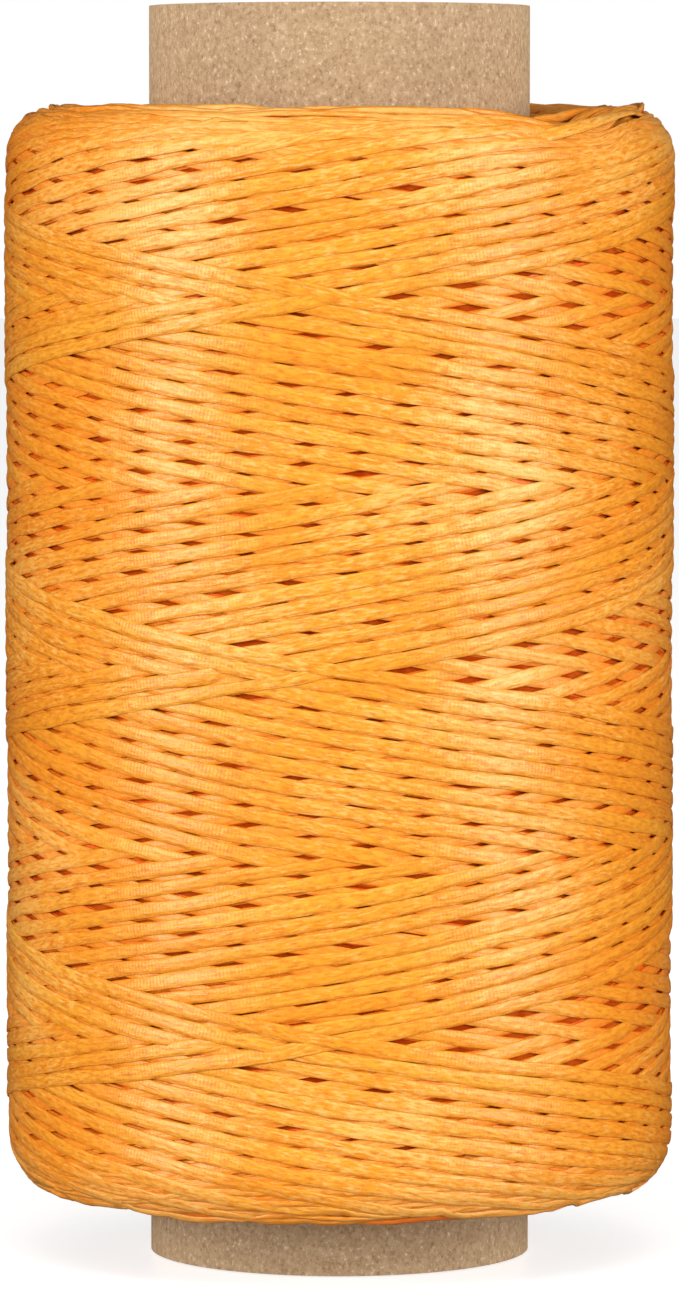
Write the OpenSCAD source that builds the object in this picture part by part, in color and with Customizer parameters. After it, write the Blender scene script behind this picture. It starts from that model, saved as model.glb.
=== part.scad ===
// Waxed thread spool: a spiral-rolled cardboard tube that carries a cross-wound package of
// flat waxed thread. +Z runs up the tube, and the origin is the centre of the tube's lower end.

/* [Tube] */
// Bore of the cardboard tube, which drops over a thread stand's spindle
bore_d = 22; // [18:0.5:26]
// Thickness of the smooth paper liner that forms the bore
liner_thickness = 0.45; // [0.3:0.05:0.6]
// Thickness of each of the three paperboard plies in the middle of the wall
body_ply_thickness = 0.45; // [0.3:0.05:0.6]
// Thickness of the kraft paper ply on the outside
outer_ply_thickness = 0.45; // [0.4:0.05:0.6]
// Length of the tube
tube_length = 87; // [84:0.5:110]
// Rounding that trimming and handling leave on the tube's outer rims
rim_radius = 0.35; // [0.1:0.05:0.35]

/* [Winding] */
// Diameter over the finished winding
winding_d = 46.4; // [42:0.2:60]
// Length of the winding along the tube
winding_length = 75.6; // [64:0.2:78]
// Bare tube left below the winding
bare_below = 4.4; // [2:0.2:6]
// Rounding of the winding's two shoulders
shoulder_radius = 3.5; // [2.5:0.1:5]

/* [Thread] */
// Width of the flat waxed thread
thread_width = 1.25; // [0.8:0.05:1.3]
// Thickness of the flat waxed thread
thread_thickness = 0.35; // [0.25:0.05:0.5]
// Passes that the outer layer makes along the winding, up and down by turns
passes = 8; // [4:2:8]
// Turns that one pass makes, rounded up
turns_of_pass = 3; // [2:1:3]
// Clear gap between two crossings of the thread
crossing_gap = 0.45; // [0.42:0.01:0.6]

/* [Hidden] */
$fn = 128;

// Wall of the tube, from the bore outwards
first_ply_r = bore_d / 2 + liner_thickness;
second_ply_r = first_ply_r + body_ply_thickness;
third_ply_r = second_ply_r + body_ply_thickness;
outer_ply_r = third_ply_r + body_ply_thickness;
tube_r = outer_ply_r + outer_ply_thickness;

// The outer layer is a chain of straight chords, each a little inside its true circle
rings_of_turn = 24;
ring_angle = 360 / rings_of_turn;
chord_dip = winding_d / 2 * (1 - cos(ring_angle / 2));

// Height of the thread's centre line over the plain core, on an upward and a downward pass
seat_gap = 0.1;
low_lift = seat_gap + chord_dip + thread_thickness / 2;
high_lift = low_lift + thread_thickness + crossing_gap;

// The plain core that the outer layer lies on
core_r = winding_d / 2 - high_lift - thread_thickness / 2;
core_shoulder_r = shoulder_radius - (winding_d / 2 - core_r);
winding_low = bare_below;
winding_high = bare_below + winding_length;

// The thread turns back where its edge comes level with the end of the winding
turn_back_angle = 27;
core_straight = winding_length - 2 * core_shoulder_r;
core_middle_z = winding_low + winding_length / 2;
pass_travel = core_straight + 2 * core_shoulder_r * turn_back_angle * PI / 180;

// One part of a turn is left off each pass, so that the next pair of passes falls between the last
rings_of_pass = round(rings_of_turn * (turns_of_pass - 1 / passes));
ring_count = rings_of_pass * passes;
ring_travel = pass_travel / rings_of_pass;
start_angle = 90;

// Rings on each side of a turn-back over which the thread rounds it and changes height
turn_back_rings = 2;

// The thread's section: its corners across its width and through its thickness
section = [
    for (corner = [[0.5, 0], [0.25, 0.5], [-0.25, 0.5], [-0.5, 0], [-0.25, -0.5], [0.25, -0.5]])
        [corner.x * thread_width, corner.y * thread_thickness]
];
face_middles = [[0, thread_thickness / 2], [0, -thread_thickness / 2]];
sides = len(section);

function unit(v) = v / norm(v);
function pass_of(ring) = min(passes - 1, floor(ring / rings_of_pass));
function goes_up(pass) = pass % 2 == 0;

// Rings from a ring back to the last turn-back, and on to the next one
function rings_since(ring) = ring - pass_of(ring) * rings_of_pass;
function rings_left(ring) = rings_of_pass - rings_since(ring);

// A straight climb whose two ends are rounded into the turn-backs
function rounded(d) =
    d < turn_back_rings ? (d * d + turn_back_rings * turn_back_rings) / (2 * turn_back_rings) : d;
function climbed(ring) =
    let (since = rings_since(ring), left = rings_left(ring))
    since < left ? rounded(since) : rings_of_pass - rounded(left);

// Way along the core's outline from its middle height, upwards positive
function travel(ring) =
    let (from_low = goes_up(pass_of(ring)) ? climbed(ring) : rings_of_pass - climbed(ring))
    from_low * ring_travel - pass_travel / 2;

// Share of the way from the low lift to the high one: half on a turn-back, where the two meet
function own_level(pass) = goes_up(pass) ? 0 : 1;
function level(ring) =
    let (
        pass = pass_of(ring),
        near_start = rings_since(ring) < rings_left(ring),
        near = min(rings_since(ring), rings_left(ring)),
        other = near_start ? pass - 1 : pass + 1,
        held = near >= turn_back_rings || other < 0 || other >= passes
    )
    held ? own_level(pass)
         : own_level(pass) + (own_level(other) - own_level(pass)) * (1 - near / turn_back_rings) / 2;

// Lean of the core's outline from upright at a way along it, and a point over it
function lean(way) =
    sign(way) * max(0, abs(way) - core_straight / 2) / core_shoulder_r * 180 / PI;
function over_core(way, lift) =
    let (straight = min(abs(way), core_straight / 2) * sign(way), tilt = lean(way))
    [
        core_r - core_shoulder_r + (core_shoulder_r + lift) * cos(tilt),
        core_middle_z + straight + (core_shoulder_r + lift) * sin(tilt)
    ];

function angle_of(ring) = start_angle + ring * ring_angle;
function outward(ring) =
    let (tilt = lean(travel(ring)), a = angle_of(ring))
    [cos(tilt) * cos(a), cos(tilt) * sin(a), sin(tilt)];
function centre(ring) =
    let (
        lift = low_lift + (high_lift - low_lift) * level(ring),
        spot = over_core(travel(ring), lift),
        a = angle_of(ring)
    )
    [spot.x * cos(a), spot.x * sin(a), spot.y];

centres = [for (ring = [0 : ring_count]) centre(ring)];
function along(ring) = unit(centres[min(ring + 1, ring_count)] - centres[max(ring - 1, 0)]);
function placed(ring, offsets) =
    let (out = outward(ring), across = unit(cross(along(ring), out)))
    [for (o = offsets) centres[ring] + o.x * across + o.y * out];

ring_points = [for (ring = [0 : ring_count]) placed(ring, section)];
wall_faces = [
    for (ring = [0 : ring_count - 1], side = [0 : sides - 1])
        let (
            a = ring * sides + side,
            b = ring * sides + (side + 1) % sides,
            c = b + sides,
            d = a + sides
        )
        each [[a, b, c], [a, c, d]]
];
cap_faces = [
    for (side = [1 : sides - 2])
        each [
            [0, side + 1, side],
            [0, side, side + 1] + ring_count * sides * [1, 1, 1]
        ]
];

// Least gap of the thread to itself, on points four to a chord, at the same place round the tube
gap_steps = 4;
gap_reach = 2 * thread_width;
gap_points = [
    for (ring = [0 : ring_count])
        concat(ring_points[ring], placed(ring, face_middles))
];
function between(ring, step) =
    let (next = min(ring + 1, ring_count), share = step / gap_steps)
    gap_points[ring] * (1 - share) + gap_points[next] * share;
function least_between(some, others) = min([for (p = some, q = others) norm(p - q)]);
self_gaps = [
    for (ring = [0 : ring_count - 1], step = [0 : gap_steps - 1])
        let (here = between(ring, step), middle = (here[0] + here[3]) / 2)
        for (other = [ring + rings_of_turn : rings_of_turn : ring_count - 1])
            let (there = between(other, step))
            if (norm(middle - (there[0] + there[3]) / 2) < gap_reach) least_between(here, there)
];
echo(loops = ring_count / rings_of_turn, least_gap_mm = min(self_gaps));

// A ring about Z whose outer corners are rounded
module rounded_ring(inner_r, outer_r, low, high, corner_r) {
    rotate_extrude() {
        translate([inner_r, low])
            square([outer_r - inner_r - corner_r, high - low]);
        translate([inner_r, low + corner_r])
            square([outer_r - inner_r, high - low - 2 * corner_r]);
        for (z = [low + corner_r, high - corner_r])
            translate([outer_r - corner_r, z])
                circle(r = corner_r);
    }
}

module ply(inner_r, outer_r) {
    difference() {
        cylinder(h = tube_length, r = outer_r);
        translate([0, 0, -1])
            cylinder(h = tube_length + 2, r = inner_r);
    }
}

module tube_inner_liner() {
    color("tan")
        ply(bore_d / 2, first_ply_r);
}

module tube_first_ply() {
    color("rosybrown")
        ply(first_ply_r, second_ply_r);
}

module tube_second_ply() {
    color("tan")
        ply(second_ply_r, third_ply_r);
}

module tube_third_ply() {
    color("rosybrown")
        ply(third_ply_r, outer_ply_r);
}

module tube_outer_ply() {
    color("burlywood")
        rounded_ring(outer_ply_r, tube_r, 0, tube_length, rim_radius);
}

module wound_thread_body() {
    color("darkorange")
        rounded_ring(tube_r, core_r, winding_low, winding_high, core_shoulder_r);
}

module wound_thread_outer_layer() {
    color("orange")
        polyhedron(points = [for (ring = ring_points) each ring], faces = concat(wall_faces, cap_faces));
}

tube_inner_liner();
tube_first_ply();
tube_second_ply();
tube_third_ply();
tube_outer_ply();
wound_thread_body();
wound_thread_outer_layer();
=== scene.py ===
import math

import bmesh
import bpy
import numpy as np
from bpy.props import FloatProperty, IntProperty, PointerProperty, StringProperty
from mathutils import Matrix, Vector


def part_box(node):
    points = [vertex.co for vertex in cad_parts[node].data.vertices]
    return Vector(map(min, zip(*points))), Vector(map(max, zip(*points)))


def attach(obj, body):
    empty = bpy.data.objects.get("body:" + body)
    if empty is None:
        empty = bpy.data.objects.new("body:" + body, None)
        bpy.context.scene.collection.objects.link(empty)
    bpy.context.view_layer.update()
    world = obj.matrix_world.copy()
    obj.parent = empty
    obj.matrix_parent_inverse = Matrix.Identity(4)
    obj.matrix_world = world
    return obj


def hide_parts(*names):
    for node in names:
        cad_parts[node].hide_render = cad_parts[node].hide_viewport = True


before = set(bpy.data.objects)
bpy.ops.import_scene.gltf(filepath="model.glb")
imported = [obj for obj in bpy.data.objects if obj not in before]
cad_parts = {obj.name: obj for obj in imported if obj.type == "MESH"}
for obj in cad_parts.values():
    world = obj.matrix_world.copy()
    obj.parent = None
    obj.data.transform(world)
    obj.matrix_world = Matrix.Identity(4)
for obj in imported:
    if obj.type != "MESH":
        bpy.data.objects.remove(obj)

bl_info = {
    "name": "Waxed thread spool",
    "version": (1, 0, 0),
    "blender": (4, 5, 0),
    "location": "View3D > Sidebar > Thread spool",
    "description": "Builds a cardboard tube wound with flat waxed thread, and its studio",
    "category": "Object",
}

MM = 0.001
# Millimetres in a metre
METRE = 1 / MM

# ---- Sizes from the frame, in millimetres, and angles in degrees ----


def span(node):
    """Lowest and highest corner of a CAD node, in millimetres."""
    low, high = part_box(node)
    return [c / MM for c in low], [c / MM for c in high]


TUBE_RADIUS, _, TUBE_LENGTH = span("tube_outer_ply")[1]
OUTER_PLY_INSIDE = span("tube_third_ply")[1][0]
WINDING_RADIUS = span("wound_thread_outer_layer")[1][0]
WINDING_BOTTOM, WINDING_TOP = (corner[2] for corner in span("wound_thread_body"))
WINDING_MIDDLE = (WINDING_TOP + WINDING_BOTTOM) / 2

FULL_TURN = 360.0
# Direction of the spool's front from +X
FRONT = -90.0
TURNS_OF_PASS = 3
# Angle from the middle of a pass to the place where the thread turns back
HALF_PASS = TURNS_OF_PASS * FULL_TURN / 2


class SpoolThread(bpy.types.PropertyGroup):
    """Sizes and colours of the wound thread."""

    pitch: FloatProperty(
        name="Pitch", description="Climb of the thread in one turn, in millimetres", default=24.93)
    width: FloatProperty(
        name="Width", description="Width of the flat thread, in millimetres", default=1.02)
    thickness: FloatProperty(
        name="Thickness", description="Thickness of the flat thread, in millimetres", default=0.24)
    stack: FloatProperty(
        name="Stack", description="Height that one thread adds over another, in millimetres",
        default=0.11)
    opening: FloatProperty(
        name="Opening", description="Spacing of the oldest laps over that of the newest", default=1.28)
    laps: IntProperty(
        name="Laps", description="Laps up and down the winding in each of the two layers", default=19)
    seed: IntProperty(name="Seed", description="Seed of the thread's wander", default=11)
    colour: StringProperty(name="Colour", description="Waxed face of the thread", default="#F5B848")
    pale_colour: StringProperty(
        name="Pale colour", description="Wax set on the thread", default="#FCE0B4")
    deep_colour: StringProperty(
        name="Deep colour", description="Dye where it took most", default="#F3AD3B")
    light_colour: StringProperty(
        name="Light colour", description="Dye where it took least", default="#F6C555")


class SpoolTube(bpy.types.PropertyGroup):
    """Sizes and colours of the cardboard tube."""

    rim_rounding: FloatProperty(
        name="Rim rounding", description="Rounding of the tube's outer rims, in millimetres",
        default=0.42)
    colour: StringProperty(name="Colour", description="Kraft paper", default="#A18666")
    board_colour: StringProperty(
        name="Board colour", description="Grey board on the tube's cut ends", default="#948672")


class SpoolStudio(bpy.types.PropertyGroup):
    """Camera over the floor."""

    distance: FloatProperty(
        name="Distance", description="Camera to the tube's axis", default=0.4867, unit="LENGTH")
    height: FloatProperty(
        name="Height", description="Camera above the floor", default=0.0759, unit="LENGTH")
    pitch: FloatProperty(
        name="Pitch", description="Downward tilt of the camera", default=math.radians(3.94),
        subtype="ANGLE")
    lens: FloatProperty(name="Lens", description="Focal length, in millimetres", default=194.2)
    sensor: FloatProperty(
        name="Sensor", description="Width of the camera's sensor, in millimetres", default=36.0)


# ---- Colours and nodes ----


def linear(hex_colour):
    """An sRGB hex colour as linear RGBA."""
    parts = [int(hex_colour[i:i + 2], 16) / 255 for i in (1, 3, 5)]
    return [p / 12.92 if p <= 0.04045 else ((p + 0.055) / 1.055) ** 2.4 for p in parts] + [1.0]


def feed(tree, node, inputs):
    """Gives a node's inputs their values, or the outputs of other nodes."""
    for socket, value in inputs.items():
        if isinstance(value, bpy.types.NodeSocket):
            tree.links.new(value, node.inputs[socket])
        else:
            node.inputs[socket].default_value = value


def add_node(tree, kind, inputs=None, stops=(), **settings):
    """Adds a node with its settings and inputs, and the stops of a ramp as places and colours."""
    node = tree.nodes.new(kind)
    for name, value in settings.items():
        setattr(node, name, value)
    feed(tree, node, inputs or {})
    for _ in stops[2:]:
        node.color_ramp.elements.new(0.5)
    for element, (place, colour) in zip(node.color_ramp.elements if stops else (), stops):
        element.position = place
        element.color = linear(colour)
    return node


# Sockets of a Mix node that mixes colours
FACTOR, FIRST, SECOND, MIXED = 0, 6, 7, 2

# Patterns are counted in 10 mm, as a weaver counts threads
COUNTED_LENGTH = 10.0
# Handling has frayed the thread over this length before either end of the winding
FRAYED_LENGTH = 4.0
# Spacing of the braid's crowns along the thread, and their lean in its herringbone
CROWN_SPACING, CROWN_LEAN = 0.55, 0.75


def scale_of(counts, unit):
    """Scale of a noise with so many clouds in 10 mm along each axis, over a place whose unit has
    so many millimetres."""
    return [count / COUNTED_LENGTH * unit for count in counts]


def new_material(name, **constants):
    """A material, its node tree and its shader, which has the given values on its own sockets."""
    material = bpy.data.materials.new(name)
    material.use_nodes = True
    shader = material.node_tree.nodes["Principled BSDF"]
    feed(material.node_tree, shader, constants)
    return material, material.node_tree, shader


def waxed_thread_material(name, thread, streaks):
    """Flat braided polyester drawn through amber wax: a satin face with fine filaments along it,
    pale streaks where the wax has set, and painted shade, a deeper orange on laps under others."""
    material, tree, shader = new_material(
        name, **{
            "Roughness": 0.36, "Specular IOR Level": 0.4, "Specular Tint": linear("#FFE0A8"),
            "Coat Weight": 1.0, "Coat Roughness": 0.32, "Coat IOR": 1.33,
            "Coat Tint": linear("#E6CC92")})
    # The map is in millimetres along the thread and round it, and a solid place is in metres
    along = add_node(tree, "ShaderNodeUVMap", uv_map="thread").outputs["UV"]
    solid = add_node(tree, "ShaderNodeTexCoord").outputs["Object"]
    # How much painted shade each point takes for lying under other laps
    buried_shade = add_node(tree, "ShaderNodeAttribute", attribute_name="buried_shade").outputs["Fac"]
    # Filaments are 0.23 mm wide and dive every 0.9 mm. Streaks of set wax are 0.2 mm wide and 1 mm
    # long, in rubbed patches 14 mm wide and 8 mm high. The dye changes over 40 mm of thread.
    noise = {}
    for pattern, place, unit, counts, detail, roughness in (
            ("filament", along, 1, (11, 44, 10), 3.0, 0.62),
            ("streak", along, 1, (10, 48, 10), 4.0, 0.68),
            ("patch", solid, METRE, (0.7, 0.7, 1.3), 2.0, 0.5),
            ("dye", along, 1, (0.25, 1, 10), 2.0, 0.5)):
        mapped = add_node(
            tree, "ShaderNodeMapping", {"Vector": place, "Scale": scale_of(counts, unit)})
        noise[pattern] = add_node(
            tree, "ShaderNodeTexNoise",
            {"Vector": mapped.outputs[0], "Scale": 1.0, "Detail": detail, "Roughness": roughness}
        ).outputs["Fac"]
    height = add_node(tree, "ShaderNodeSeparateXYZ", {"Vector": solid}).outputs["Z"]
    off = add_node(
        tree, "ShaderNodeMath", {0: height, 1: WINDING_MIDDLE * MM}, operation="SUBTRACT").outputs[0]
    far = add_node(tree, "ShaderNodeMath", {0: off}, operation="ABSOLUTE").outputs[0]
    half = (WINDING_TOP - WINDING_BOTTOM) / 2
    frayed = add_node(
        tree, "ShaderNodeMapRange",
        {"Value": far, "From Min": (half - FRAYED_LENGTH) * MM, "From Max": half * MM,
         "To Min": 0.0, "To Max": 0.11}).outputs[0]
    dyed = add_node(
        tree, "ShaderNodeValToRGB", {"Fac": noise["dye"]},
        [(0.3, thread.deep_colour), (0.5, thread.colour), (0.7, thread.light_colour)]).outputs[0]
    grain = add_node(
        tree, "ShaderNodeValToRGB", {"Fac": noise["filament"]},
        [(0.32, "#D4A878"), (0.6, "#FFFFFF")]).outputs[0]
    face = add_node(
        tree, "ShaderNodeMix", {FACTOR: 0.8, FIRST: dyed, SECOND: grain},
        data_type="RGBA", blend_type="MULTIPLY").outputs[MIXED]
    # Wax shows where its streaks are strong and lie in a rubbed patch or near a frayed end
    worn = add_node(
        tree, "ShaderNodeMath", {0: noise["patch"], 1: 0.6, 2: frayed},
        operation="MULTIPLY_ADD").outputs[0]
    both = add_node(
        tree, "ShaderNodeMath", {0: noise["streak"], 1: worn}, operation="ADD").outputs[0]
    wax = add_node(
        tree, "ShaderNodeMapRange",
        {"Value": both, "From Min": 0.81, "From Max": 0.98, "To Min": 0.0,
         "To Max": streaks}).outputs[0]
    waxed = add_node(
        tree, "ShaderNodeMix", {FACTOR: wax, FIRST: face, SECOND: linear(thread.pale_colour)},
        data_type="RGBA").outputs[MIXED]
    # Painted shade: laps under a crossing, older laps and the under layer take a deeper, redder orange,
    # which stands in for the shade between laps
    under = add_node(
        tree, "ShaderNodeValToRGB", {"Fac": buried_shade}, [(0.3, "#FFA440"), (0.9, "#FF7420")]).outputs[0]
    shade = add_node(
        tree, "ShaderNodeMix", {FACTOR: buried_shade, FIRST: waxed, SECOND: under},
        data_type="RGBA").outputs[MIXED]
    # Two crossed rows of waves give the braid's herringbone of crowns
    split = add_node(tree, "ShaderNodeSeparateXYZ", {"Vector": along})
    waves = []
    for lean in (CROWN_LEAN, -CROWN_LEAN):
        phase = add_node(
            tree, "ShaderNodeMath", {0: split.outputs["Y"], 1: lean, 2: split.outputs["X"]},
            operation="MULTIPLY_ADD").outputs[0]
        turned = add_node(
            tree, "ShaderNodeMath", {0: phase, 1: 2 * math.pi / CROWN_SPACING},
            operation="MULTIPLY").outputs[0]
        waves.append(add_node(tree, "ShaderNodeMath", {0: turned}, operation="SINE").outputs[0])
    braid = add_node(
        tree, "ShaderNodeMath", {0: waves[0], 1: waves[1]}, operation="MULTIPLY").outputs[0]
    relief = add_node(
        tree, "ShaderNodeMath", {0: braid, 1: 0.2, 2: noise["filament"]},
        operation="MULTIPLY_ADD").outputs[0]
    bump = add_node(
        tree, "ShaderNodeBump",
        {"Height": relief, "Strength": 0.6, "Distance": 0.05 * MM}).outputs[0]
    lump = add_node(
        tree, "ShaderNodeBump",
        {"Height": both, "Normal": bump, "Strength": 0.4, "Distance": 0.1 * MM}).outputs[0]
    feed(tree, shader, {"Base Color": shade, "Normal": lump, "Coat Normal": lump})
    return material


def painted_shade_thread_material():
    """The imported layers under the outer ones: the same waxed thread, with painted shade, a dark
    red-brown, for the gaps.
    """
    material, tree, shader = new_material(
        "waxed_polyester_thread_in_painted_shade", **{"Roughness": 0.6, "Specular IOR Level": 0.0})
    place = add_node(tree, "ShaderNodeTexCoord").outputs["Object"]
    # Packed turns lie 1.1 mm apart
    turns = add_node(
        tree, "ShaderNodeTexNoise",
        {"Vector": place, "Scale": scale_of([9], METRE)[0], "Detail": 2.0}).outputs["Fac"]
    # Painted shade: dark red-browns in place of the thread's own orange
    colour = add_node(
        tree, "ShaderNodeValToRGB", {"Fac": turns}, [(0.35, "#963208"), (0.7, "#AC4A12")]).outputs[0]
    bump = add_node(
        tree, "ShaderNodeBump", {"Height": turns, "Strength": 0.5, "Distance": 0.2 * MM}).outputs[0]
    feed(tree, shader, {"Base Color": colour, "Normal": bump})
    return material


def paperboard_material(name, colour, dark, pale):
    """Rolled kraft or grey board: matte, with short pressed fibres, some darker and some paler."""
    material, tree, shader = new_material(name, **{"Roughness": 0.85, "Specular IOR Level": 0.2})
    place = add_node(tree, "ShaderNodeTexCoord").outputs["Object"]
    # Clouds of pulp are 0.6 mm across, fibres 0.24 mm wide and 0.3 mm long, and dark specks are the
    # tips of clouds 0.45 mm across. Real fibres are finer and would not show.
    noise = {}
    for pattern, counts, detail, roughness in (
            ("cloud", (17, 17, 17), 5.0, 0.7),
            ("fibre", (42, 42, 33), 3.0, 0.65),
            ("speck", (23, 23, 21), 2.0, 0.5)):
        mapped = add_node(
            tree, "ShaderNodeMapping", {"Vector": place, "Scale": scale_of(counts, METRE)})
        noise[pattern] = add_node(
            tree, "ShaderNodeTexNoise",
            {"Vector": mapped.outputs[0], "Scale": 1.0, "Detail": detail, "Roughness": roughness}
        ).outputs["Fac"]
    body = add_node(
        tree, "ShaderNodeValToRGB", {"Fac": noise["cloud"]},
        [(0.3, dark), (0.5, colour), (0.72, pale)]).outputs[0]
    weave = add_node(
        tree, "ShaderNodeValToRGB", {"Fac": noise["fibre"]},
        [(0.3, "#AF987C"), (0.46, "#FFFFFF"), (1.0, "#FFFFFF")]).outputs[0]
    fibred = add_node(
        tree, "ShaderNodeMix", {FACTOR: 0.6, FIRST: body, SECOND: weave},
        data_type="RGBA", blend_type="MULTIPLY").outputs[MIXED]
    bright = add_node(
        tree, "ShaderNodeMapRange",
        {"Value": noise["fibre"], "From Min": 0.58, "From Max": 0.72, "To Min": 0.0,
         "To Max": 0.4}).outputs[0]
    pulped = add_node(
        tree, "ShaderNodeMix", {FACTOR: bright, FIRST: fibred, SECOND: linear("#F2DFC6")},
        data_type="RGBA").outputs[MIXED]
    dot = add_node(
        tree, "ShaderNodeMapRange",
        {"Value": noise["speck"], "From Min": 0.3, "From Max": 0.22, "To Min": 0.0,
         "To Max": 0.7}).outputs[0]
    specked = add_node(
        tree, "ShaderNodeMix", {FACTOR: dot, FIRST: pulped, SECOND: linear("#6E543C")},
        data_type="RGBA").outputs[MIXED]
    bump = add_node(
        tree, "ShaderNodeBump",
        {"Height": noise["fibre"], "Strength": 0.5, "Distance": 0.04 * MM}).outputs[0]
    feed(tree, shader, {"Base Color": specked, "Normal": bump})
    return material


# ---- The thread's route ----

# Height and depth of the rounded shoulders at the top and the bottom of the winding
TOP_RISE, TOP_DROP = 3.6, 3.0
LOW_RISE, LOW_DROP = 4.4, 3.4
# The top shoulder is drawn for an end this much below the CAD's
TOP_SINK = 0.1
# Share of a shoulder's rise over which its outline is followed, short of where it lies flat
FOLLOWED = 0.97
# The newest crossings stand this much over the mean surface
PROUD = 0.22
# The top end is hollowed towards the tube: its depth, the radius where it starts, and its reach
# inwards from there
DISH, DISH_EDGE, DISH_REACH = 0.8, 18.6, 3.0
# The top rim sags where the loose end has come off it: its angle from the front, its depth and its
# reach before and after that angle
SAG_ANGLE, SAG_DEPTH, SAG_BEFORE, SAG_AFTER = 50.0, 1.15, 19, 9
# Laps follow the sag from this height, and follow it fully this much higher
SAG_START, SAG_FADE = WINDING_TOP - 4.5, 3.5

# Spacing of the laps from even, and slip of the older layer against the newer, as it was wound
SPACING_JITTER, LAYER_SLIP = (0.93, 1.07), 0.07
# The pattern of crossings lies this much over the middle of the winding
PATTERN_RISE = 0.1
# Angles over which a turn-back is rounded, its laps come to one height, and its laps bunch up
TURN_ROUNDING, MERGING_REACH, BUNCHING_REACH = (16, 46), 14, 42
# Share of a spacing over which a lap climbs over the laps that it crosses
CROSSING_CLIMB = 0.3
# How much painted shade a thread takes for its age, for lying under a crossing, and for its layer
AGE_BURIAL, CROSSED_BURIAL, LAYER_BURIAL = 0.1, 0.35, 0.45

# Sine waves in each wander, and their lengths as shares of its reach
SINES, SINE_LENGTHS = 6, (0.6, 1.9)
# Waves of a lap, as a strength in millimetres, shares or radians and a reach in degrees round the
# tube: of its height, of its height where laps bunch up, of its width, and of its tilt likewise
DRIFT = ((0.055, 95), (0.025, 23))
BUNCHED_DRIFT = ((0.1, 16), (0.05, 7))
SWELL = ((0.06, 60), (0.05, 14))
TILT, BUNCHED_TILT = ((math.radians(3), 50),), ((math.radians(9), 22),)
# Bunched threads are narrower and thicker by these shares
NARROWED, THICKENED = 0.35, 0.3
# Share of its depth by which a lap lies lower along a shoulder
SHOULDER_SLIDE = 0.6
# Steps along a lap, and the unevenness of a section's corners as a share of its half thickness
OUTER_STEP, UNDER_STEP, LAP_UNEVEN = 2.5, 4.5, 0.1
# Length round a thread's section in its texture map
GIRTH = 2.6
# Shifts of the seed, so that laps, ends and the loose end each wander their own way
LAPS_SHIFT, ENDS_SHIFT, LOOSE_SHIFT = 1, 40, 90


def wander(way, waves, rng):
    """A smooth random wander along a way in degrees, from waves of a strength and a reach. Each has
    its ups and downs about its reach apart."""
    total = 0 * way
    for strength, reach in waves:
        lengths = reach * rng.uniform(*SINE_LENGTHS, SINES)
        phases = rng.uniform(0, 2 * math.pi, SINES)
        sines = sum(
            np.sin(2 * math.pi * way / length + phase) for length, phase in zip(lengths, phases))
        total = total + strength * (sines * math.sqrt(2 / SINES))
    return total


def smooth_step(x):
    """Goes from 0 to 1 as x does, with no kink at either."""
    x = np.clip(x, 0.0, 1.0)
    return x * x * (3 - 2 * x)


def skin(z):
    """Radius of the finished winding at a height, and the lean of its outline there."""
    over = np.clip((z - (WINDING_TOP - TOP_SINK - TOP_RISE)) / TOP_RISE, 0, FOLLOWED)
    under = np.clip((WINDING_BOTTOM + LOW_RISE - z) / LOW_RISE, 0, FOLLOWED)
    bend = np.maximum(over, under)
    rise = np.where(over > under, TOP_RISE, LOW_RISE)
    drop = np.where(over > under, TOP_DROP, LOW_DROP)
    radius = WINDING_RADIUS + PROUD - drop * (1 - np.sqrt(1 - bend ** 2))
    slope = drop / rise * bend / np.sqrt(1 - bend ** 2)
    return radius, np.arctan(slope) * np.where(over > under, 1, -1)


def sag(angle):
    """How far the top rim sags at an angle from the front."""
    off = np.mod(angle - SAG_ANGLE + FULL_TURN / 2, FULL_TURN) - FULL_TURN / 2
    reach = np.where(off > 0, SAG_AFTER, SAG_BEFORE)
    return SAG_DEPTH * np.exp(-(off / reach) ** 2)


def on_winding(direction, radius, height, lean):
    """Points at a direction from +X, a radius and a height, and the ways that the winding's skin
    faces there."""
    a = np.radians(direction)
    points = np.stack([radius * np.cos(a), radius * np.sin(a), height], -1)
    outward = np.stack([np.cos(lean) * np.cos(a), np.cos(lean) * np.sin(a), np.sin(lean)], -1)
    return points, outward


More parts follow.
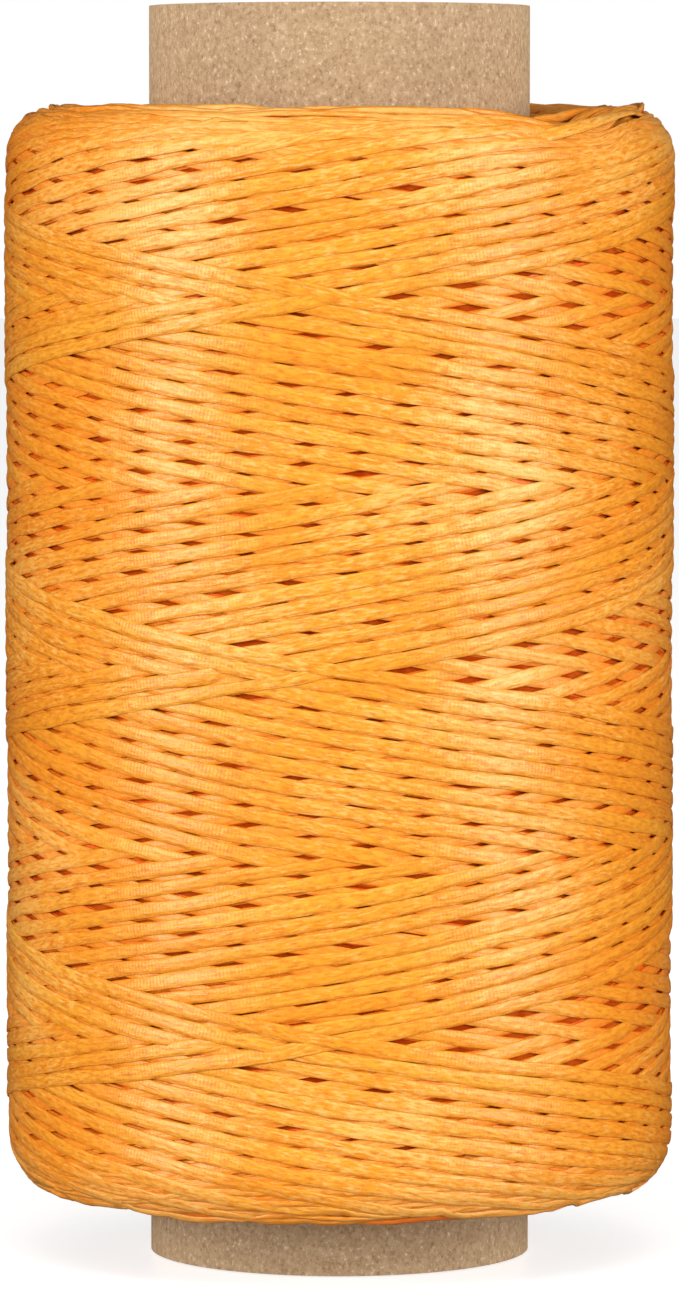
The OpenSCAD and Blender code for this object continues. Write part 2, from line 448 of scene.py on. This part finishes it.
class Laps:
    """Where each lap of the thread lies. Lap 0 is the newest, and each older lap is turned back
    a little, so that its climbing line lies above the last and its falling line below. After a
    whole pitch the older layer's laps fall under the newer ones, and gaps lie over gaps."""

    def __init__(self, thread):
        rng = np.random.default_rng(thread.seed)
        self.thread = thread
        count = thread.laps
        spacing = np.linspace(1, thread.opening, count) * rng.uniform(*SPACING_JITTER, count)
        layer = np.concatenate([[0], np.cumsum(spacing)]) * thread.pitch / spacing.sum()
        slip = LAYER_SLIP * rng.standard_normal(count + 1)
        self.newer = layer
        self.offsets = np.concatenate([layer[:-1], layer + thread.pitch + slip])
        self.middle = WINDING_MIDDLE + PATTERN_RISE
        self.top = self.middle + thread.pitch * HALF_PASS / FULL_TURN
        self.low = self.middle - thread.pitch * HALF_PASS / FULL_TURN
        # Turn-backs are rounded over these angles: at the top of each lap, and below at its start
        self.top_rounding = rng.uniform(*TURN_ROUNDING, 2 * count)
        self.low_rounding = rng.uniform(*TURN_ROUNDING, 2 * count)
        # Angles by which a lap runs on below its middle lines, to meet the next lap
        self.runs_on = np.diff(self.offsets) / thread.pitch * FULL_TURN / 2
        self.lengths = np.array([
            4 * HALF_PASS + self.runs_on[k] + (self.runs_on[k - 1] if k else 0)
            for k in range(2 * count)])

    def index_at(self, offset):
        """Which lap's line lies at an offset from the newest, as a fraction between two laps."""
        return np.interp(
            np.mod(offset, self.thread.pitch), self.newer, np.arange(self.thread.laps + 1))

    def route(self, lap, step):
        """One lap, oldest end first: its angle from the front, height, depth, painted shade for its
        burial, nearness to a turn-back, and the way on from the oldest lap's start."""
        thread = self.thread
        turned = self.offsets[lap] / thread.pitch * FULL_TURN
        before = self.runs_on[lap]
        after = self.runs_on[lap - 1] if lap else 0.0
        start, end = -HALF_PASS - before, 3 * HALF_PASS + after
        way = np.linspace(start, end, int((end - start) / step) + 1)
        rising = way < HALF_PASS
        climb = thread.pitch / FULL_TURN

        def rounded(distance, reach):
            return np.where(distance < reach, (distance ** 2 + reach ** 2) / (2 * reach), distance)

        from_top = np.abs(way - HALF_PASS)
        from_low = np.where(rising, way - start, end - way)
        low_end = np.where(rising, self.low - climb * before, self.low - climb * after)
        low_reach = np.where(rising, self.low_rounding[lap], self.low_rounding[max(lap - 1, 0)])
        height = np.where(
            from_top < HALF_PASS,
            self.top - climb * rounded(from_top, self.top_rounding[lap]),
            low_end + climb * rounded(from_low, low_reach))
        angle = way - turned
        line = climb * angle
        # The other direction's laps here, and whether they lie over this one
        other = np.where(rising, self.middle - line - height, height - self.middle - line)
        across = self.index_at(other)
        own = lap % thread.laps
        on_top = smooth_step((across - own - np.where(rising, 0.5, -0.5)) / CROSSING_CLIMB + 0.5)
        from_turn = np.minimum(from_top, from_low)
        at_turn = smooth_step(1 - from_turn / MERGING_REACH)
        on_top = on_top * (1 - at_turn) + 0.5 * at_turn
        older = (own + across) / thread.laps
        layer = lap // thread.laps
        depth = thread.stack * (older + 1 - on_top + 2 * layer)
        # Painted shade, a deeper colour for laps that lie under others
        buried_shade = np.clip(
            AGE_BURIAL * older + CROSSED_BURIAL * (1 - on_top) + LAYER_BURIAL * layer, 0, 1)
        bunched = smooth_step(1 - from_turn / BUNCHING_REACH)
        total = self.lengths[lap + 1:].sum() + way - start
        return angle, height, depth, buried_shade, bunched, total


# Corners of the flat thread's section, as shares of half its width and half its thickness
SECTION = np.array([
    (1.0, 0.05), (0.91, 0.6), (0.52, 0.93), (0.0, 1.0), (-0.52, 0.93), (-0.91, 0.6),
    (-1.0, 0.05), (-0.6, -0.75), (0.0, -0.85), (0.6, -0.75)])
# The same in the winding, where wax and pressure close the hollows under each thread
PRESSED = SECTION * np.where(SECTION[:, 1:] < 0, [1.45, 3.2], [1.0, 1.0])
# A plainer section for the short arcs on the ends
SMALL_SECTION = np.array([
    (1.0, 0.0), (0.55, 0.85), (-0.55, 0.85), (-1.0, 0.0), (-0.55, -0.8), (0.55, -0.8)])


def tube_mesh(name, runs):
    """One closed mesh from several runs of thread. A run is its rings (rings, corners, 3), in
    millimetres, its UVs (rings, corners, 2) and its painted shade (rings)."""
    points, faces, uvs, buried_shades, caps = [], [], [], [], []
    base = 0
    for rings, uv, buried_shade in runs:
        count, corners = rings.shape[:2]
        points.append(rings.reshape(-1, 3) * MM)
        buried_shades.append(np.repeat(buried_shade, corners))
        row = np.arange(count - 1)[:, None]
        side = np.arange(corners)[None, :]
        following = (side + 1) % corners
        first = base + row * corners
        faces.append(np.stack([
            first + side, first + following, first + corners + following, first + corners + side],
            -1).reshape(-1, 4))
        # The last side closes on the first corner, and its map runs one side past the last corner
        wide = np.concatenate([uv, uv[:, -1:] + [0, uv[0, 1, 1] - uv[0, 0, 1]]], axis=1)
        uvs.append(np.stack([
            wide[row, side], wide[row, side + 1], wide[row + 1, side + 1], wide[row + 1, side]],
            -2).reshape(-1, 2))
        caps.append(base + np.arange(corners)[::-1])
        base += count * corners
        caps.append(base - corners + np.arange(corners))
    faces, uvs = np.concatenate(faces), np.concatenate(uvs)
    cap_loops = np.concatenate(caps)
    cap_starts = np.cumsum([0] + [len(cap) for cap in caps[:-1]])
    mesh = bpy.data.meshes.new(name)
    mesh.vertices.add(base)
    mesh.vertices.foreach_set("co", np.concatenate(points).ravel())
    mesh.loops.add(faces.size + len(cap_loops))
    mesh.loops.foreach_set(
        "vertex_index", np.concatenate([faces.ravel(), cap_loops]).astype(np.int32))
    mesh.polygons.add(len(faces) + len(caps))
    starts = np.concatenate([np.arange(0, faces.size, 4), faces.size + cap_starts])
    mesh.polygons.foreach_set("loop_start", starts.astype(np.int32))
    mesh.update(calc_edges=True)
    cap_uvs = np.repeat(uvs[:1], len(cap_loops), axis=0)
    mesh.uv_layers.new(name="thread").data.foreach_set(
        "uv", np.concatenate([uvs, cap_uvs]).ravel().astype(np.float32))
    # The painted shade goes to the material as a point attribute
    mesh.attributes.new("buried_shade", "FLOAT", "POINT").data.foreach_set(
        "value", np.concatenate(buried_shades).astype(np.float32))
    mesh.polygons.foreach_set("use_smooth", np.ones(len(mesh.polygons), dtype=bool))
    mesh.validate()
    mesh.update()
    obj = bpy.data.objects.new(name, mesh)
    bpy.context.scene.collection.objects.link(obj)
    return obj


def rings_along(section, points, outward, half_width, half_thick, tilt, uneven, rng):
    """Section rings at points in millimetres, square to the way and leaning by a tilt. Their
    corners are uneven by a share of the half thickness."""
    way = np.gradient(points, axis=0)
    way /= np.linalg.norm(way, axis=1, keepdims=True)
    across = np.cross(way, outward)
    across /= np.linalg.norm(across, axis=1, keepdims=True)
    out = np.cross(across, way)
    turned_across = np.cos(tilt)[:, None] * across + np.sin(tilt)[:, None] * out
    turned_out = np.cos(tilt)[:, None] * out - np.sin(tilt)[:, None] * across
    crest = 1 + uneven * rng.standard_normal((len(points), len(section)))
    a = section[:, 0] * half_width[:, None]
    o = section[:, 1] * half_thick[:, None] * crest
    return points[:, None] + a[..., None] * turned_across[:, None] + o[..., None] * turned_out[:, None]


def thread_uv(points, start, sides):
    """Millimetres along the thread from a start, and round its section from one edge."""
    steps = np.linalg.norm(np.diff(points, axis=0), axis=1)
    uv = np.empty((len(points), sides, 2))
    uv[..., 0] = start + np.concatenate([[0], np.cumsum(steps)])[:, None]
    uv[..., 1] = np.arange(sides) / sides * GIRTH
    return uv


def thread_run(laps, chosen, step):
    """Laps of thread that follow each other, as one run for tube_mesh."""
    thread = laps.thread
    routes = [laps.route(lap, step) for lap in sorted(chosen, reverse=True)]
    # The first point of each later lap is the last one of the lap before
    parts = [[part if i == 0 else part[1:] for part in route] for i, route in enumerate(routes)]
    angle, height, depth, buried_shade, bunched, total = (np.concatenate(part) for part in zip(*parts))
    rng = np.random.default_rng(thread.seed + LAPS_SHIFT)
    height = height + wander(total, DRIFT, rng)
    height = height + bunched * wander(total, BUNCHED_DRIFT, rng)
    wide = 1 + wander(total, SWELL, rng)
    tilt = wander(total, TILT, rng) + bunched * wander(total, BUNCHED_TILT, rng)
    height = height - sag(angle) * smooth_step((height - SAG_START) / SAG_FADE)
    radius, lean = skin(height)
    half_width = thread.width / 2 * wide * (1 - NARROWED * bunched)
    half_thick = thread.thickness / 2 * (1 + THICKENED * bunched)
    inside = radius - depth * np.cos(lean) - half_thick
    height = height - depth * SHOULDER_SLIDE * np.sin(lean)
    points, outward = on_winding(angle + FRONT, inside, height, lean)
    rings = rings_along(PRESSED, points, outward, half_width, half_thick, tilt, LAP_UNEVEN, rng)
    return rings, thread_uv(points, 0.0, len(PRESSED)), buried_shade


def finish_piece(obj, material, slot_name, *nodes):
    """Gives a piece its material and its place in the assembly."""
    obj.data.materials.clear()
    obj.data.materials.append(material)
    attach(obj, "root")
    if nodes:
        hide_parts(*nodes)


def deselect_all():
    """Leaves edit mode, with nothing selected."""
    if bpy.context.object and bpy.context.object.mode != "OBJECT":
        bpy.ops.object.mode_set(mode="OBJECT")
    bpy.ops.object.select_all(action="DESELECT")


# ---- Operators ----


class SPOOL_OT_outer_laps(bpy.types.Operator):
    """Winds the outer layer, newest laps first"""

    bl_idname = "spool.outer_laps"
    bl_label = "Outer laps"

    STREAKS = 0.85

    def execute(self, context):
        thread = context.scene.spool_thread
        laps = Laps(thread)
        material = waxed_thread_material("waxed_polyester_thread", thread, self.STREAKS)
        parts = ["newest_thread_laps", "middle_thread_laps", "older_thread_laps"]
        for part, chosen in zip(parts, np.array_split(np.arange(thread.laps), len(parts))):
            piece = tube_mesh(part, [thread_run(laps, [int(lap) for lap in chosen], OUTER_STEP)])
            nodes = ["wound_thread_outer_layer"] if part == parts[0] else []
            finish_piece(piece, material, "waxed_thread", *nodes)
        return {"FINISHED"}


class SPOOL_OT_under_laps(bpy.types.Operator):
    """Winds the layer that shows in the gaps of the outer one"""

    bl_idname = "spool.under_laps"
    bl_label = "Under laps"

    STREAKS = 0.2

    def execute(self, context):
        thread = context.scene.spool_thread
        material = waxed_thread_material("waxed_polyester_thread_under", thread, self.STREAKS)
        run = thread_run(Laps(thread), range(thread.laps, 2 * thread.laps), UNDER_STEP)
        finish_piece(tube_mesh("under_thread_laps", [run]), material, "waxed_thread")
        return {"FINISHED"}


class SPOOL_OT_buried_layers(bpy.types.Operator):
    """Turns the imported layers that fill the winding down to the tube"""

    bl_idname = "spool.buried_layers"
    bl_label = "Buried layers"

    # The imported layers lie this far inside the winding's side, bottom and top, under the arcs
    SIDE_INSET, LOW_INSET, TOP_INSET = 0.35, 1.8, 1.3 + 0.7 * DISH
    TUBE_CLEARANCE = 0.02
    SHOULDER, SHOULDER_SEGMENTS, SIDES = 2.5, 5, 128

    def execute(self, context):
        deselect_all()
        radius = WINDING_RADIUS - self.SIDE_INSET
        low, high = WINDING_BOTTOM + self.LOW_INSET, WINDING_TOP - self.TOP_INSET
        bpy.ops.mesh.primitive_cylinder_add(
            vertices=self.SIDES, radius=radius * MM, depth=(high - low) * MM,
            location=(0, 0, (low + high) / 2 * MM))
        piece = context.object
        piece.name = "buried_thread_layers"
        bpy.ops.object.transform_apply(location=True, rotation=True, scale=True)
        bpy.ops.object.mode_set(mode="EDIT")
        shell = bmesh.from_edit_mesh(piece.data)
        bpy.ops.mesh.select_all(action="DESELECT")
        for face in shell.faces:
            face.select_set(abs(face.normal.z) > 0.9)
        bmesh.update_edit_mesh(piece.data)
        wall = radius - TUBE_RADIUS - self.TUBE_CLEARANCE
        bpy.ops.mesh.inset(thickness=wall * MM, depth=0)
        bpy.ops.mesh.bridge_edge_loops()
        bpy.ops.mesh.select_all(action="SELECT")
        bpy.ops.mesh.normals_make_consistent(inside=False)
        bpy.ops.object.mode_set(mode="OBJECT")
        bevel = piece.modifiers.new("shoulders", "BEVEL")
        bevel.width = self.SHOULDER * MM
        bevel.segments = self.SHOULDER_SEGMENTS
        bevel.limit_method = "ANGLE"
        bevel.angle_limit = math.radians(60)
        bpy.ops.object.modifier_apply(modifier=bevel.name)
        bpy.ops.object.shade_smooth_by_angle(angle=math.radians(40))
        finish_piece(piece, painted_shade_thread_material(), "waxed_thread", "wound_thread_body")
        return {"FINISHED"}


class SPOOL_OT_end_arcs(bpy.types.Operator):
    """Lays the turned-back arcs of every buried layer, which show on the winding's two ends"""

    bl_idname = "spool.end_arcs"
    bl_label = "End arcs"

    # Wax streaks on the arcs, and the painted shade they take, a deeper orange for thread among the
    # laps
    STREAKS, BURIAL = 0.95, 0.3
    # Circles on the flat end: from this far off the tube, to a radius, their spacing and their arcs
    FLAT_START, FLAT_EDGE, FLAT_SPACING, FLAT_ARCS = 0.2, 21.2, 0.33, 8
    # Circles on the shoulder: their depths below the end, and their arcs
    SHOULDER_DEPTHS, SHOULDER_ARCS = np.arange(0.1, 2.3, 0.25), 11
    # An arc lies off its even place in a circle by up to this share of the spacing
    PLACE_JITTER = 0.25
    # Half an arc's angle, the angle over which it turns, and its points
    HALF_ANGLES, TURN_ANGLES, POINTS = (44, 58), (20, 34), 27
    # Depth of an arc's crown under the end of the winding at the top and the bottom, and its jitter
    TOP_CROWN, LOW_CROWN, CROWN_JITTER = 0.1, 0.65, (-0.1, 0.25)
    # Share of a lap's climb with which an arc leaves its crown
    CLIMB = 0.8
    # The top end stands a little higher behind the tube than before it
    REAR_RISE = 0.25
    # Depth of the shoulder's arcs under the winding's skin at their crowns, and added at their ends
    SKIN_DEPTH, END_DEPTH = 0.36, 0.5
    # Growth of an arc's radius from its middle to its end
    SPIRAL = 0.1
    # Width and thickness of an arc as shares of the thread's, its tilt in degrees, its unevenness
    # and its centre line's depth as a share of the thread's width
    WIDTHS, THICKNESS, TILTS, UNEVEN, CENTRE = (0.4, 0.7), 1.4, (-7, 7), 0.06, 0.3
    RADIUS_WAVES = ((0.03, 30),)
    HEIGHT_WAVES = ((0.06, 36), (0.03, 13))
    WIDTH_WAVES = ((0.06, 40),)
    TILT_WAVES = ((math.radians(5), 25),)
    # Each arc shows a stretch of thread that starts somewhere in this length
    THREAD_LENGTH = 4000

    def execute(self, context):
        thread = context.scene.spool_thread
        material = waxed_thread_material("waxed_polyester_thread_ends", thread, self.STREAKS)
        radii = np.arange(TUBE_RADIUS + self.FLAT_START, self.FLAT_EDGE, self.FLAT_SPACING)
        circles = [(radius, 0.0, self.FLAT_ARCS) for radius in radii]
        circles += [(None, down, self.SHOULDER_ARCS) for down in self.SHOULDER_DEPTHS]
        for name, upper in (("top_end_arcs", True), ("bottom_end_arcs", False)):
            rng = np.random.default_rng(thread.seed + ENDS_SHIFT + upper)
            runs = []
            for radius, down, arcs in circles:
                first = rng.uniform(0, FULL_TURN)
                for arc in range(arcs):
                    jitter = rng.uniform(-self.PLACE_JITTER, self.PLACE_JITTER)
                    middle = first + FULL_TURN / arcs * (arc + jitter)
                    runs.append(self.arc_run(thread, rng, radius, down, middle, upper))
            finish_piece(tube_mesh(name, runs), material, "waxed_thread")
        return {"FINISHED"}

    def arc_run(self, thread, rng, radius, down, middle, upper):
        """One turn-back. It lies at its own radius on the flat end, and on the shoulder it
        follows the winding's outline a little way under it."""
        reach = rng.uniform(*self.HALF_ANGLES)
        way = np.linspace(-reach, reach, self.POINTS)
        away = np.abs(way)
        rounding = rng.uniform(*self.TURN_ANGLES)
        fall = np.where(away < rounding, way ** 2 / (2 * rounding), away - rounding / 2)
        rim = (self.TOP_CROWN if upper else self.LOW_CROWN) + down + rng.uniform(*self.CROWN_JITTER)
        if upper and radius is not None:
            rim += DISH * smooth_step((DISH_EDGE - radius) / DISH_REACH)
        drop = rim + thread.pitch / FULL_TURN * fall * self.CLIMB + thread.width * self.CENTRE
        direction = way + middle
        if upper:
            outer = 1.0
            if radius is not None:
                outer = (radius - TUBE_RADIUS) / (self.FLAT_EDGE - TUBE_RADIUS)
            drop = drop + sag(direction - FRONT) * outer
            drop = drop - self.REAR_RISE * (1 - np.cos(np.radians(direction - FRONT)))
        height = WINDING_TOP - drop if upper else WINDING_BOTTOM + drop
        lean = 0 * way
        if radius is None:
            radius, lean = skin(height)
            radius = radius - self.SKIN_DEPTH - self.END_DEPTH * (away / reach) ** 2
        radius = radius + self.SPIRAL * way / reach + wander(way, self.RADIUS_WAVES, rng)
        height = height + wander(way, self.HEIGHT_WAVES, rng)
        points, outward = on_winding(direction, radius, height, lean)
        half_width = thread.width / 2 * rng.uniform(*self.WIDTHS)
        half_width = half_width * (1 + wander(way, self.WIDTH_WAVES, rng))
        tilt = np.radians(rng.uniform(*self.TILTS)) + wander(way, self.TILT_WAVES, rng)
        half_thick = np.full(len(way), thread.thickness / 2 * self.THICKNESS)
        rings = rings_along(
            SMALL_SECTION, points, outward, half_width, half_thick, tilt, self.UNEVEN, rng)
        uv = thread_uv(points, rng.uniform(0, self.THREAD_LENGTH), len(SMALL_SECTION))
        return rings, uv, np.full(len(way), self.BURIAL)


class SPOOL_OT_thread_end(bpy.types.Operator):
    """Lays the loose end of the thread over the top shoulder"""

    bl_idname = "spool.thread_end"
    bl_label = "Thread end"

    # From the front, the angles where the end leaves the winding and stops, and the step between
    START_ANGLE, END_ANGLE, STEP = 30, 66.3, 1.25
    # Depth of its start below the top of the winding, its rise from there, and how the rise eases
    START_DEPTH, RISE, EASING = 2.7, 2.25, 1.5
    # It starts this far inside the skin, is lifted by so much, and is out so many times sooner than
    # it ends. It stays outside a least radius.
    SUNK, LIFT, LIFT_RATE, LEAST_RADIUS = -0.5, 0.68, 2.2, 22.0
    # Share of its width that it loses towards its tip, and its unevenness
    TAPER, UNEVEN = 0.6, 0.15
    WIDTH_WAVES = ((0.05, 30),)
    # Where its stretch of the texture map starts, in millimetres
    THREAD_START = 9000

    def execute(self, context):
        thread = context.scene.spool_thread
        rng = np.random.default_rng(thread.seed + LOOSE_SHIFT)
        angle = np.arange(self.START_ANGLE, self.END_ANGLE, self.STEP)
        share = (angle - angle[0]) / (angle[-1] - angle[0])
        height = WINDING_TOP - self.START_DEPTH + self.RISE * (1 - (1 - share) ** self.EASING)
        radius, lean = skin(height)
        lift = self.SUNK + self.LIFT * smooth_step(share * self.LIFT_RATE)
        radius = np.maximum(radius, self.LEAST_RADIUS) + lift * np.cos(lean)
        points, outward = on_winding(angle + FRONT, radius, height, lean)
        half_width = thread.width / 2 * (1 + wander(angle, self.WIDTH_WAVES, rng))
        half_width = half_width * (1 - self.TAPER * share ** 2)
        half_thick = np.full(len(angle), thread.thickness / 2)
        rings = rings_along(
            SECTION, points, outward, half_width, half_thick, 0 * angle, self.UNEVEN, rng)
        uv = thread_uv(points, self.THREAD_START, len(SECTION))
        piece = tube_mesh("loose_thread_end", [(rings, uv, 0 * angle)])
        finish_piece(piece, bpy.data.materials["waxed_polyester_thread"], "waxed_thread")
        return {"FINISHED"}


class SPOOL_OT_tube(bpy.types.Operator):
    """Rolls the tube's kraft face, and finishes its liner and the plies between"""

    bl_idname = "spool.tube"
    bl_label = "Cardboard tube"

    SIDES, RIM_SEGMENTS = 160, 5
    # A rim's edge lies no further than this inside the tube's radius
    EDGE_REACH = 0.05

    def execute(self, context):
        tube = context.scene.spool_tube
        kraft = paperboard_material("kraft_paperboard", tube.colour, "#907556", "#B09777")
        board = paperboard_material("grey_paperboard_cut_edge", tube.board_colour, "#7C6E5C", "#A99D8A")
        finish_piece(self.kraft_ply(tube), kraft, "kraft_board", "tube_outer_ply")
        for node, material in (
                ("tube_first_ply", board), ("tube_second_ply", board), ("tube_third_ply", board),
                ("tube_inner_liner", kraft)):
            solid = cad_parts[node]
            solid.data.materials.clear()
            solid.data.materials.append(material)
        return {"FINISHED"}

    def kraft_ply(self, tube):
        """Draws a circle up into the tube's face, thickens it inwards and rounds its outer rims."""
        deselect_all()
        bpy.ops.mesh.primitive_circle_add(
            vertices=self.SIDES, radius=TUBE_RADIUS * MM, fill_type="NOTHING", location=(0, 0, 0))
        piece = bpy.context.object
        piece.name = "kraft_outer_ply"
        bpy.ops.object.mode_set(mode="EDIT")
        bpy.ops.mesh.select_all(action="SELECT")
        bpy.ops.mesh.extrude_region_move(
            TRANSFORM_OT_translate={"value": (0, 0, TUBE_LENGTH * MM)})
        sheet = bmesh.from_edit_mesh(piece.data)
        inward = sum(
            face.normal.dot(face.calc_center_median().xy.to_3d()) for face in sheet.faces) < 0
        bpy.ops.object.mode_set(mode="OBJECT")
        wall = piece.modifiers.new("wall", "SOLIDIFY")
        wall.thickness = (TUBE_RADIUS - OUTER_PLY_INSIDE) * MM
        wall.offset = 1 if inward else -1
        bpy.ops.object.modifier_apply(modifier=wall.name)
        bpy.ops.object.mode_set(mode="EDIT")
        bpy.ops.mesh.select_all(action="SELECT")
        bpy.ops.mesh.normals_make_consistent(inside=False)
        rims = bmesh.from_edit_mesh(piece.data)
        bpy.ops.mesh.select_all(action="DESELECT")
        for edge in rims.edges:
            a, b = (v.co for v in edge.verts)
            level = abs(a.z - b.z) < 1e-6
            edge.select_set(level and math.hypot(a.x, a.y) > (TUBE_RADIUS - self.EDGE_REACH) * MM)
        bmesh.update_edit_mesh(piece.data)
        bpy.ops.mesh.bevel(
            offset=tube.rim_rounding * MM, segments=self.RIM_SEGMENTS, affect="EDGES")
        bpy.ops.object.mode_set(mode="OBJECT")
        bpy.ops.object.shade_smooth_by_angle(angle=math.radians(35))
        return piece


class SPOOL_OT_stage(bpy.types.Operator):
    """Sets up the floor, the soft lamps, the white surroundings and the camera"""

    bl_idname = "spool.stage"
    bl_label = "Studio"

    # Lamps and floor are set out in metres. A lamp has its name, place, size and power in watts.
    LAMPS = (
        ("top_softbox", (0.0, -0.55, 0.9), (0.6, 0.4), 3.1),
        ("left_softbox", (-0.8, -0.52, 0.24), (0.4, 0.5), 9.7),
        ("right_softbox", (0.8, -0.52, 0.24), (0.4, 0.5), 9.7))
    AIM = (0, 0, 0.045)
    FLOOR_SIZE, FLOOR_HEIGHT = 6.0, -0.05 * MM
    # Glow of the floor to the camera, level of its paper, and that level in gloss
    FLOOR_GLOW, FLOOR_LEVEL, FLOOR_IN_GLOSS = 0.68, 0.55, 0.05
    # Level of the room as light, and in gloss
    ROOM_LEVEL, ROOM_IN_GLOSS = 0.54, 0.04
    CLIP_START = 0.05

    def execute(self, context):
        studio = context.scene.spool_studio
        self.floor()
        self.room()
        self.lamps()
        camera = bpy.data.objects.new("camera", bpy.data.cameras.new("camera"))
        context.scene.collection.objects.link(camera)
        camera.location = (0, -studio.distance, studio.height)
        camera.rotation_euler = (math.radians(90) - studio.pitch, 0, 0)
        camera.data.lens = studio.lens
        camera.data.sensor_width = studio.sensor
        camera.data.clip_start = self.CLIP_START
        context.scene.camera = camera
        context.scene.view_settings.view_transform = "Standard"
        return {"FINISHED"}

    def floor(self):
        """White paper under the spool, which gloss sees dark, as over a black flag."""
        deselect_all()
        bpy.ops.mesh.primitive_plane_add(size=self.FLOOR_SIZE, location=(0, 0, self.FLOOR_HEIGHT))
        floor = bpy.context.object
        floor.name = "floor"
        material, tree, shader = new_material(
            "matte_white_paper_sweep",
            **{"Roughness": 0.35, "Specular IOR Level": 0.2, "Emission Color": linear("#FFFFFF")})
        path = add_node(tree, "ShaderNodeLightPath")
        glow = add_node(
            tree, "ShaderNodeMath", {0: path.outputs["Is Camera Ray"], 1: self.FLOOR_GLOW},
            operation="MULTIPLY").outputs[0]
        paper = add_node(
            tree, "ShaderNodeMapRange",
            {"Value": path.outputs["Is Glossy Ray"], "To Min": self.FLOOR_LEVEL,
             "To Max": self.FLOOR_IN_GLOSS}).outputs["Result"]
        feed(tree, shader, {"Emission Strength": glow, "Base Color": paper})
        floor.data.materials.append(material)

    def room(self):
        """White to the camera, a soft light on the spool, and dark in its gloss."""
        world = bpy.data.worlds.new("white_room")
        bpy.context.scene.world = world
        world.use_nodes = True
        tree = world.node_tree
        path = add_node(tree, "ShaderNodeLightPath")
        lit = add_node(
            tree, "ShaderNodeMapRange",
            {"Value": path.outputs["Is Glossy Ray"], "To Min": self.ROOM_LEVEL,
             "To Max": self.ROOM_IN_GLOSS}).outputs["Result"]
        level = add_node(
            tree, "ShaderNodeMapRange",
            {"Value": path.outputs["Is Camera Ray"], "To Min": lit, "To Max": 1.0}).outputs["Result"]
        feed(tree, tree.nodes["Background"], {"Color": linear("#FFFFFF"), "Strength": level})

    def lamps(self):
        """Softboxes over the camera and on both sides, aimed at the middle of the spool."""
        for name, place, size, power in self.LAMPS:
            lamp = bpy.data.lights.new(name, "AREA")
            lamp.shape = "RECTANGLE"
            lamp.size, lamp.size_y = size
            lamp.energy = power
            obj = bpy.data.objects.new(name, lamp)
            bpy.context.scene.collection.objects.link(obj)
            obj.location = place
            aim = Vector(self.AIM) - Vector(place)
            obj.rotation_euler = aim.to_track_quat("-Z", "Y").to_euler()


class SPOOL_PT_panel(bpy.types.Panel):
    """Lists the spool's pieces in the order they are made"""

    bl_label = "Thread spool"
    bl_space_type = "VIEW_3D"
    bl_region_type = "UI"
    bl_category = "Thread spool"

    def draw(self, context):
        column = self.layout.column()
        for operator in OPERATORS:
            column.operator(operator.bl_idname)


GROUPS = {"spool_thread": SpoolThread, "spool_tube": SpoolTube, "spool_studio": SpoolStudio}
OPERATORS = [
    SPOOL_OT_tube, SPOOL_OT_buried_layers, SPOOL_OT_under_laps, SPOOL_OT_outer_laps,
    SPOOL_OT_end_arcs, SPOOL_OT_thread_end, SPOOL_OT_stage]
CLASSES = [*GROUPS.values(), *OPERATORS, SPOOL_PT_panel]


def register():
    for cls in CLASSES:
        bpy.utils.register_class(cls)
    for name, group in GROUPS.items():
        setattr(bpy.types.Scene, name, PointerProperty(type=group))


def unregister():
    for name in GROUPS:
        delattr(bpy.types.Scene, name)
    for cls in reversed(CLASSES):
        bpy.utils.unregister_class(cls)


def main():
    """Makes every piece and the stage."""
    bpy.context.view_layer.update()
    register()
    for operator in OPERATORS:
        group, name = operator.bl_idname.split(".")
        getattr(getattr(bpy.ops, group), name)()


if __name__ == "__main__":
    main()
